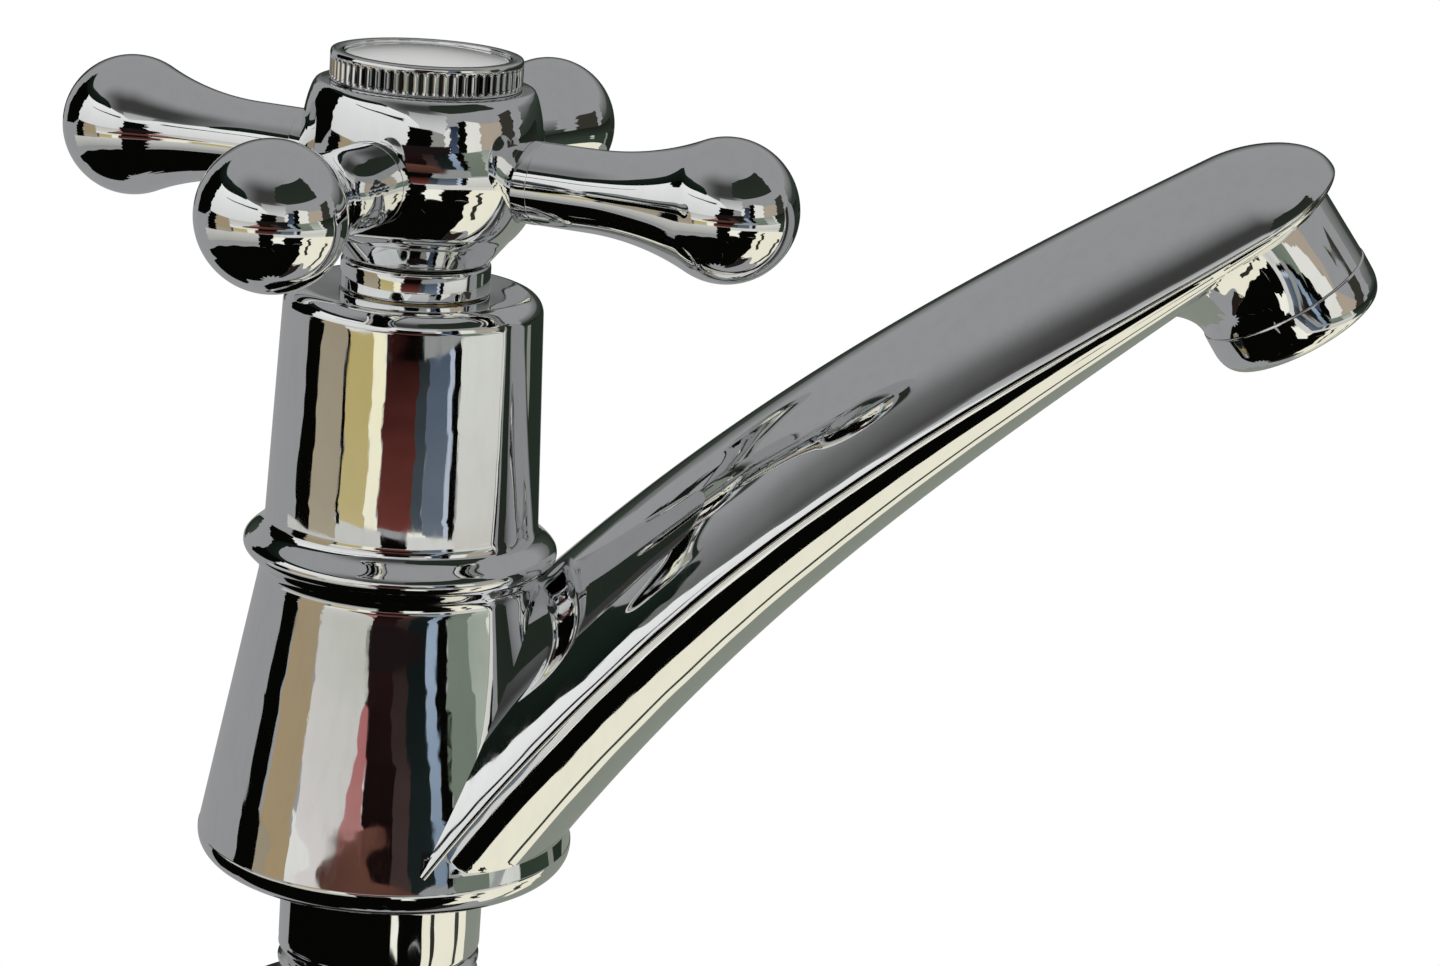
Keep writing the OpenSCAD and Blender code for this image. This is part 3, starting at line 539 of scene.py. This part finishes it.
# Outside: a cone from the foot, then a barrel of two elliptical arcs that meet at its belly.
hub_foot_r, belly_z = 7.4, hub_z+arm_h+1
lower_w, lower_h, upper_w, upper_h = 5.5, 8.8, 2.3, hub_h-arm_h-0.2
lower = arc((hub_r-lower_w, belly_z), (lower_w, lower_h), -58, 0, 22)
upper = arc((hub_r-upper_w, belly_z), (upper_w, upper_h), 2, 57, 18)
# Inside: the recess for the cap, the hole for the screw, the splines and the foot's pocket.
recess_r, recess_z, screw_hole_r, web_z = 7.8, hub_z+14.6, 2.25, hub_z+13
spline_r, pocket_r, pocket_z = 4.15, hub_foot_r-1.2, hub_z+3.1
foot = rounded([(pocket_r, hub_z, 0.15), (hub_foot_r, hub_z, 0.15), (9.35, hub_z+2.4, 0.12),
                (*lower[0], 0.1)])[4:-7]
top = rounded([(11.02, hub_top-0.4, 0.1), (10.7, hub_top, 0.3), (recess_r, hub_top, 0.2),
               (recess_r, recess_z, 0.1), (screw_hole_r, recess_z, 0.1),
               (screw_hole_r, web_z, 0.1), (spline_r, web_z, 0.1), (spline_r, pocket_z, 0.1),
               (pocket_r, pocket_z, 0.1)])[7:]
hub = skin("handle_hub_barrel", turned(np.vstack([foot, lower, upper, top])), "loop")


def along(rings, angle):
    """Lays rings of a form turned round z along the arm at that angle: z becomes its reach."""
    r, y, h = rings[..., 2], rings[..., 0], rings[..., 1]
    c, s = np.cos(angle), np.sin(angle)
    return np.stack([c*r-s*y, s*r+c*y, arm_z+h], -1)


arm_angles = handle_angle+np.pi/2*np.arange(4)
neck_r, arm_foot, arm_screw_r, arm_screw_foot = 4.1, 10.9, 2.5, 7.3
hole_r, socket_r = arm_screw_r+thread_fit, neck_r+0.03
sockets = [skin("socket", along(turned(rounded([
    (hole_r, arm_screw_foot-0.3, 0.1), (hole_r, arm_foot, 0.05), (socket_r, arm_foot, 0.05),
    (socket_r, 14, 0.1)])[1:-1], 64), angle), "poles") for angle in arm_angles]
cut_and_join(hub, cuts=sockets)
dress(hub, handle_chrome, "handle", "handle_hub")


# Handle arms. Four turned arms screwed into the hub, each with a plain neck that swells
# through a hollow curve into a ball.

ball_r, arm_reach, hollow_r = 7.1, 32.2, 27.0
hollow_c = neck_r+hollow_r
hollow_x = np.sqrt((ball_r+hollow_r)**2-hollow_c**2)
touch = np.degrees(np.arctan2(hollow_x, hollow_c))
arm_profile = np.vstack([
    rounded([(0.4, arm_screw_foot, 0.1), (arm_screw_r, arm_screw_foot, 0.2),
             (arm_screw_r, arm_foot, 0.05), (neck_r, arm_foot, 0.1),
             (neck_r, arm_foot+2, 0.1)])[7:-1],
    arc((hollow_c, arm_reach-hollow_x), (hollow_r, hollow_r), 180, 180-touch, 30),
    arc((0, arm_reach), (ball_r, ball_r), -touch, 89, 56)[1:]])
arms = [skin("handle_arm_%d" % (k+1), along(turned(arm_profile, 128), angle), "poles")
        for k, angle in enumerate(arm_angles)]
for arm in arms:
    dress(arm, handle_chrome, "handle", "handle_arms")


# Handle screw. A zinc plated steel screw with a crossed head. It goes down through the hub into
# the spindle's end, and the cap hides it.

dress(nodes["handle_screw"], plated_steel)


# Index cap. A chrome plated ring with fine flutes round it for the fingers. Its skirt is
# pressed into the hub's recess.

cap_r, cap_h, flutes, flute_depth = 9.5, 3.0, 60, 0.32
cap_floor_h, disc_r, skirt_r1, skirt_r2, skirt_z = 1.2, 8.2, 5.8, recess_r-0.05, hub_z+15
cap_top, floor_z = hub_top+cap_h, hub_top+cap_floor_h
cap_profile = np.vstack([
    rounded([(skirt_r2, hub_top, 0.1), (cap_r-0.1, hub_top, 0.2), (cap_r, hub_top+0.3, 0.1)])[7:-1],
    np.stack([np.full(22, cap_r), np.linspace(hub_top+0.3, cap_top-0.35, 22)], -1),
    rounded([(cap_r, cap_top-0.3, 0.1), (cap_r-0.1, cap_top, 0.25), (disc_r+0.08, cap_top, 0.15),
             (disc_r+0.05, floor_z, 0.1), (skirt_r1, floor_z, 0.1), (skirt_r1, skirt_z, 0.1),
             (skirt_r2, skirt_z, 0.1)])[4:]])
cap = turned(cap_profile, flutes*10)
# The flutes are flute_depth sin^2 deep, and fade out below and above over a quarter millimetre.
a = np.linspace(0, 2*np.pi, flutes*10, endpoint=False)
rise_in = (np.clip((cap[..., 2]-hub_top-0.2)/0.25, 0, 1)
           * np.clip((cap_top-0.55-cap[..., 2])/0.25, 0, 1))
on_rim = np.hypot(cap[..., 0], cap[..., 1]) > cap_r-0.05
cut_in = flute_depth*np.sin(flutes*a/2)**2*rise_in*on_rim
cap[..., :2] *= (1-cut_in/cap_r)[..., None]
index_cap = skin("index_cap_ring", cap, "loop")

# Painted shade in the flutes: the plate is painted near black there, inside the rim's radius and below
# the land.
cap_chrome_flute_shade = chrome("cap_chrome_flute_shade", 0.00004)
tree = cap_chrome_flute_shade.node_tree
place = put(tree, "TexCoord").outputs["Object"]
flat = put(tree, "VectorMath", {0: place}, operation="MULTIPLY")
flat.inputs[1].default_value = (1, 1, 0)
from_axis = put(tree, "VectorMath", {0: flat.outputs[0]}, operation="LENGTH")
on_crest = put(tree, "MapRange", {"Value": from_axis.outputs["Value"]},
               from_min=(cap_r-0.24)*MM, from_max=(cap_r-0.1)*MM)
height = put(tree, "SeparateXYZ", {"Vector": place}).outputs["Z"]
on_land = put(tree, "MapRange", {"Value": height},
              from_min=(cap_top-0.5)*MM, from_max=(cap_top-0.35)*MM)
outside_flute_shade = put(tree, "Math", {0: on_crest.outputs["Result"], 1: on_land.outputs["Result"]},
            operation="MAXIMUM")
# The mask is 1 on the crest and the land and 0 in the flutes, where the near black is painted shade.
two_tones(tree, outside_flute_shade.outputs[0], (0.03, 0.03, 0.028), plate,
          tree.nodes["Principled BSDF"].inputs["Base Color"])
dress(index_cap, cap_chrome_flute_shade, "handle", "index_cap")


# Index disc. A slightly domed disc of glossy pale plastic, moulded and pressed into the cap. It
# is left bare.

index_white = moulded("index_white", (0.79, 0.79, 0.78), (0.85, 0.85, 0.84), 0.05, 0.1,
                      0.002, 0.000002, coat_weight=0.6, coat_roughness=0.03)
disc_top, dome_h = cap_top+0.4, 0.8
dome_r = (disc_r**2+dome_h**2)/(2*dome_h)
dome = np.linspace(disc_r-0.25, 0.2, 24)
disc_rows = np.vstack([
    rounded([(0.2, floor_z, 0.05), (disc_r, floor_z, 0.1), (disc_r, disc_top-0.95, 0.2),
             (disc_r-0.3, disc_top-0.75, 0.1)])[7:-1],
    np.stack([dome, disc_top-dome_r+np.sqrt(dome_r**2-dome**2)], -1)])
index_disc = skin("index_disc_dome", turned(disc_rows), "poles")
dress(index_disc, index_white, "handle", "index_disc")


# Aerator housing. A ring of brass, turned and chrome plated, rounded at its outlet. It screws
# into the nozzle and holds the insert.

ring_r, ring_round, thread_h, aerator_wall = 9.0, 1.1, 3.6, 1.0
insert_r, lip_r, housing_top = aerator_r-aerator_wall, aerator_r-2*aerator_wall, ring_h+thread_h
housing_rows = np.vstack([
    arc((ring_r-ring_round, 2*ring_round), (ring_round, 2*ring_round), -90, 0, 16),
    rounded([(ring_r, 2*ring_round+0.2, 0.1), (ring_r, ring_h-0.05, 0.25), (aerator_r, ring_h, 0.1),
             (aerator_r, housing_top, 0.2), (insert_r, housing_top, 0.1),
             (insert_r, aerator_wall, 0.1), (lip_r, aerator_wall, 0.1), (lip_r, 0, 0.2)])[7:]])
housing = skin("aerator_ring", at_nozzle(turned(housing_rows)), "loop")
dress(housing, cast_chrome, "body", "aerator_housing")


# Aerator insert, screen and seal. A plastic grid and a steel screen mix air into the water, and
# a rubber ring seals the housing against the nozzle's shoulder.

dress(nodes["aerator_insert"], white_plastic)
dress(nodes["aerator_screen"], plated_steel)
dress(nodes["aerator_seal"], black_rubber)


# Studio. A plain pale floor, soft light from above, and coloured cards and mats round the tap,
# which only show in the chrome.

def glow(name, foot, top, low, high):
    """A stage material that gives off light, from colour foot at height low to top at high."""
    material = bpy.data.materials.new(name)
    material.use_nodes = True
    tree = material.node_tree
    tree.nodes.clear()
    place = put(tree, "SeparateXYZ", {"Vector": put(tree, "TexCoord").outputs["Object"]})
    rise = put(tree, "MapRange", {"Value": place.outputs["Z"]}, from_min=low*MM, from_max=high*MM)
    light = put(tree, "Emission", strength=1.0)
    two_tones(tree, rise.outputs["Result"], foot, top, light.inputs["Color"])
    tree.links.new(light.outputs[0], put(tree, "OutputMaterial").inputs["Surface"])
    return material


def sheet(name, across, out, up, material, seen=False):
    """A sheet of the studio through a grid of points (across, out, up) in millimetres. The
    camera sees only the floor, and the chrome only the other sheets."""
    points = np.stack([across, out, up], -1)
    index = np.arange(up.size).reshape(up.shape)
    quads = np.stack([index[:-1, :-1], index[:-1, 1:], index[1:, 1:], index[1:, :-1]], -1)
    mesh = bpy.data.meshes.new(name)
    mesh.from_pydata((points.reshape(-1, 3)*MM).tolist(), [], quads.reshape(-1, 4).tolist())
    mesh.materials.append(material)
    panel = bpy.data.objects.new(name, mesh)
    bpy.context.collection.objects.link(panel)
    panel.visible_camera = seen
    panel.visible_glossy = not seen


def card(name, stations, colour, foot=None, far=1000.0, wobble=1.0, lean=0.0):
    """A card bent round the tap at a distance. Its stations are (azimuth, low, high): degrees
    from the camera's side, to the right as it sees them, and heights. Its upright edges waver
    by wobble degrees and lean left by lean, and its colour may change from foot at the bottom."""
    azimuth, low, high = np.asarray(stations, float).T
    across, up = np.meshgrid(np.linspace(azimuth[0], azimuth[-1], 48), np.linspace(0, 1, 40))
    bottom, top = np.interp(across, azimuth, low), np.interp(across, azimuth, high)
    a = np.radians(across+lean*(0.5-up)+wobble*(np.sin(17*up)+0.6*np.sin(41*up+1)))
    sheet(name, far*np.sin(a), -far*np.cos(a), bottom+(top-bottom)*up,
          glow(name, foot or colour, colour, low.min(), high.max()))


def mat(name, left, right, near, far, colour, level=-260.0):
    """A mat that lies under the tap between two azimuths and two distances. Its sides waver by
    up to 3 degrees and its ends by a fiftieth of the far distance."""
    across, out = np.meshgrid(np.linspace(left, right, 48), np.linspace(near, far, 40))
    a = np.radians(across+2*np.sin(out/47)+np.sin(out/19))
    out = out+0.02*far*np.sin(across/5)
    sheet(name, out*np.sin(a), -out*np.cos(a), np.full_like(a, level),
          glow(name, colour, colour, level, level+1))


floor_level, floor_reach = -400.0, 4000.0
x, y = np.meshgrid([-floor_reach, floor_reach], [-floor_reach, floor_reach])
sheet("floor", x, y, np.full_like(x, floor_level), glow("pale_floor", (1, 1, 1), (1, 1, 1), -1, 1),
      seen=True)

black, tan = (0.002, 0.002, 0.0015), (0.4, 0.3, 0.17)
# The lowest cards draw a pale line along the spout's lip, and the cover reflects the low ones.
card("lowest_left", [(-100, -300, -188), (-16, -300, -188)], (0.62, 0.62, 0.59), far=1010.0)
card("lowest_right", [(5, -300, -188), (100, -300, -188)], (0.7, 0.7, 0.66), far=1010.0)
for name, left, right, low, high, colour, foot in (
        ("low_black", -101, -84, -215, -88, black, black),
        ("low_tan", -84, -57, -215, -88, (0.34, 0.29, 0.21), (0.42, 0.36, 0.27)),
        ("low_black_line", -57, -54, -195, -100, black, black),
        ("low_khaki", -54, -32, -188, -102, (0.5, 0.41, 0.15), (0.56, 0.47, 0.24)),
        ("low_yellow", -32, -21, -185, -102, (1.0, 0.95, 0.66), (0.95, 0.92, 0.75)),
        ("low_red_brown", -21, 7, -180, -98, (0.02, 0.006, 0.005), (0.16, 0.042, 0.034)),
        ("low_dark_blue", 7, 16, -180, -98, (0.02, 0.025, 0.024), (0.07, 0.09, 0.11)),
        ("low_steel_blue", 16, 34, -183, -98, (0.07, 0.095, 0.14), (0.15, 0.18, 0.22)),
        ("low_blue_line", 34, 38, -185, -98, (0.45, 0.52, 0.62), (0.5, 0.56, 0.66)),
        ("low_black_post", 38, 44, -188, -98, black, black),
        ("low_white", 44, 89, -215, -98, (0.74, 0.76, 0.7), (0.62, 0.6, 0.55)),
        ("low_green_grey", 89, 120, -430, -88, (0.03, 0.045, 0.032), (0.05, 0.07, 0.05)),
        ("low_pale_line", 120, 126, -430, -88, (0.25, 0.27, 0.23), (0.25, 0.27, 0.23)),
        ("low_green_black", 126, 168, -430, -88, (0.02, 0.03, 0.022), (0.02, 0.03, 0.022))):
    card(name, [(left, low, high), (right, low, high)], colour, foot)
# These show in the hub and the balls, between the low and the middle cards.
card("between_white", [(-60, -110, -40), (-17, -110, -25)], (0.8, 0.8, 0.76), far=1010.0)
card("between_black", [(-17, -110, -25), (10, -110, -25)], black, far=1010.0)
card("between_grey", [(10, -110, -25), (44, -110, -30)], (0.3, 0.31, 0.3), far=1010.0)
# The tapered body reflects the middle cards, which run from their lower edge up to 80. One more,
# mid_head, stands before their tops and covers the seam over them.
for name, left, right, low, lean, colour, foot in (
        ("mid_black", -99, -84, -88, -6, black, black),
        ("mid_tan", -84, -60, -88, 0, (0.36, 0.3, 0.2), tan),
        ("mid_pale", -60, -17, -48, 4, (0.55, 0.56, 0.5), (0.72, 0.68, 0.66)),
        ("mid_black_2", -17, 3, -34, 10, (0.02, 0.008, 0.008), (0.002, 0.002, 0.002)),
        ("mid_brown", 3, 13, -34, 10, (0.025, 0.015, 0.014), (0.06, 0.04, 0.036)),
        ("mid_green_black", 13, 27, -34, 10, (0.006, 0.009, 0.009), (0.012, 0.018, 0.018)),
        ("mid_blue_line", 27, 34, -40, 10, (0.34, 0.43, 0.55), (0.2, 0.26, 0.34)),
        ("mid_black_3", 34, 42, -46, 10, black, black),
        ("mid_green_grey", 42, 60, -88, 10, (0.2, 0.24, 0.19), (0.16, 0.19, 0.15)),
        ("mid_right_grey", 60, 76, -88, 10, (0.3, 0.34, 0.28), (0.5, 0.54, 0.47)),
        ("mid_white_line", 76, 79, -88, 10, (0.8, 0.8, 0.74), (0.8, 0.8, 0.74)),
        ("mid_right_dark", 79, 140, -88, 10, (0.012, 0.016, 0.012), (0.03, 0.036, 0.028))):
    card(name, [(left, low, 80), (right, low, 80)], colour, foot, lean=lean)
card("mid_brown_foot", [(-38, -60, -46), (-26, -60, -16), (-8, -60, -4), (10, -60, -8),
                        (22, -60, -34)],
     (0.13, 0.055, 0.04), (0.06, 0.028, 0.02), far=985.0, wobble=2)
card("mid_head", [(-20, 72, 135), (26, 72, 135)], (0.012, 0.008, 0.008), far=985.0)
card("mid_pink", [(-30, -48, -40), (-15, -48, 40)], (0.42, 0.14, 0.14), (0.46, 0.26, 0.24),
     far=990.0, lean=4)
# The large pale screen on the left, and what stands round it.
card("screen", [(-109, 80, 700), (-80, 80, 880), (-60, 80, 800), (-45, 80, 690), (-30, 80, 600),
                (-16, 80, 520), (-5, 80, 380)], (1.0, 1.0, 1.0), (0.75, 0.75, 0.74))
card("screen_line", [(-75, 470, 482), (-45, 450, 478), (-20, 390, 440)], (0.02, 0.02, 0.018),
     far=995.0)
card("screen_foot", [(-109, -430, -215), (-17, -430, -215)], (0.6, 0.6, 0.57), (0.4, 0.4, 0.36))
card("left_black", [(-133, -60, 640), (-109, -20, 640), (-98, 80, 600)], black, far=990.0)
card("left_green_black", [(-135, 560, 780), (-105, 600, 800), (-86, 620, 880), (-60, 650, 890),
                          (-50, 640, 850), (-41, 620, 690)],
     (0.012, 0.02, 0.014), (0.004, 0.006, 0.005), far=990.0)
card("figure", [(-14, 80, 330), (8, 80, 300)], black, far=990.0)
card("figure_foot", [(-16, -600, -190), (5, -600, -190)], black)
card("front_grey", [(-16, 200, 620), (22, 240, 560)], (0.36, 0.36, 0.36), (0.75, 0.75, 0.74),
     far=1010.0)
card("figure_side", [(8, 80, 300), (20, 80, 260)], (0.3, 0.3, 0.28))
card("right_pale", [(20, 80, 250), (25, 80, 330)], (0.8, 0.8, 0.74))
card("right_blue_black", [(25, 80, 350), (33, 80, 350)], (0.02, 0.03, 0.05), (0.06, 0.08, 0.13))
card("right_black", [(33, 80, 400), (41, 80, 420)], black)
card("right_white", [(41, 80, 420), (56, 80, 360)], (0.85, 0.84, 0.78))
card("right_beige", [(56, 80, 340), (80, 80, 300)], (0.45, 0.38, 0.3))
card("right_dark", [(80, 80, 400), (96, 80, 420)], (0.04, 0.038, 0.03))
# The spout's root sees this one by way of the body, which darkens the notch between them.
card("right_overhead", [(5, 700, 1400), (25, 600, 1700), (80, 600, 1700)], (0.02, 0.026, 0.019),
     (0.024, 0.032, 0.023), far=1005.0)
card("behind_dark", [(104, -88, 150), (140, -88, 240), (206, -88, 240)], (0.05, 0.06, 0.05),
     (0.012, 0.02, 0.014), far=1010.0)
card("behind_grey", [(110, 140, 420), (140, 230, 480), (206, 230, 480)], (0.33, 0.33, 0.335),
     (0.05, 0.06, 0.05), far=1010.0)
# What lies below: a dark table in front, and a pale floor to the right and behind.
mat("table_left", -118, 4, 50, 520, black)
mat("table_right", 4, 48, 50, 640, black)
mat("table_far", 20, 48, 640, 1150, black)
mat("table_corner", 48, 70, 50, 230, (0.02, 0.015, 0.012))
mat("table_edge", -118, 10, 44, 120, black, level=-26.0)
mat("floor_white", 4, 20, 640, 1400, (1.0, 0.98, 0.86))
mat("floor_cream", 48, 112, 230, 1400, (0.95, 0.91, 0.74))
mat("floor_dark_1", 58, 63, 380, 900, (0.03, 0.03, 0.025), level=-258.0)
mat("floor_dark_2", 92, 98, 230, 700, (0.05, 0.06, 0.045), level=-258.0)
mat("floor_side", 112, 170, 100, 1400, (0.26, 0.28, 0.24))

# The world is grey with a soft dark band high in front, and plain white to the camera.
world = bpy.data.worlds.new("studio")
bpy.context.scene.world = world
world.use_nodes = True
tree = world.node_tree
tree.nodes.clear()


def ramp(source, start, end, low, high):
    """Maps start..end to low..high smoothly."""
    node = put(tree, "MapRange", {"Value": source}, interpolation_type="SMOOTHSTEP",
               from_min=start, from_max=end, to_min=low, to_max=high)
    return node.outputs["Result"]


def times(a, b):
    """Product of two values of the world's shader."""
    return put(tree, "Math", {0: a, 1: b}, operation="MULTIPLY").outputs[0]


sky_grey, band_dark = (0.33, 0.33, 0.335), (0.05, 0.05, 0.048)
way = put(tree, "SeparateXYZ", {"Vector": put(tree, "TexCoord").outputs["Generated"]}).outputs
left_to_right = times(ramp(way["X"], -0.95, -0.25, 0, 1), ramp(way["X"], 0.05, 0.4, 1, 0))
in_front = times(left_to_right, ramp(way["Y"], -0.45, 0.0, 1, 0))
above = times(ramp(way["Z"], 0.3, 0.55, 0, 1), ramp(way["Z"], 0.7, 0.98, 1, 0))
sky = put(tree, "Background", strength=1.0)
two_tones(tree, times(in_front, above), sky_grey, band_dark, sky.inputs["Color"])
behind = put(tree, "Background", strength=1.0)
behind.inputs["Color"].default_value = (1, 1, 1, 1)
ray = put(tree, "LightPath").outputs["Is Camera Ray"]
mixed = put(tree, "MixShader", {0: ray, 1: sky.outputs[0], 2: behind.outputs[0]})
tree.links.new(mixed.outputs[0], put(tree, "OutputWorld").inputs["Surface"])

# A soft light from above for what isn't chrome.
lamp = bpy.data.objects.new("soft_light", bpy.data.lights.new("soft_light", "AREA"))
bpy.context.collection.objects.link(lamp)
lamp.location = (-0.2, -0.3, 0.9)
lamp.rotation_euler = (-0.35, -0.2, 0)
lamp.data.size = 0.9
lamp.data.energy = 7
lamp.visible_camera = lamp.visible_glossy = False

# The camera stands where the photograph was taken from, in millimetres and radians.
eye = np.array([0.0, -350.715, 137.631])
yaw, pitch_down, roll = 0.091, 0.266, 0.079
focal_px, frame_w = 3584.0, 1440
ahead = np.array([np.sin(yaw), np.cos(yaw), 0])
side = np.array([np.cos(yaw), -np.sin(yaw), 0])
over = np.array([0, 0, 1.0])
view_dir = ahead*np.cos(pitch_down)-over*np.sin(pitch_down)
top_dir = over*np.cos(pitch_down)+ahead*np.sin(pitch_down)
right_dir = side*np.cos(roll)+top_dir*np.sin(roll)
top_dir = top_dir*np.cos(roll)-side*np.sin(roll)
camera = bpy.data.objects.new("camera", bpy.data.cameras.new("camera"))
bpy.context.collection.objects.link(camera)
camera.data.sensor_width = 36
camera.data.lens = 36*focal_px/frame_w
camera.data.clip_start, camera.data.clip_end = 0.01, 20
placed = np.eye(4)
placed[:3, 0], placed[:3, 1], placed[:3, 2], placed[:3, 3] = right_dir, top_dir, -view_dir, eye*MM
camera.matrix_world = Matrix(placed.tolist())
bpy.context.scene.camera = camera
bpy.context.scene.view_settings.view_transform = "Standard"
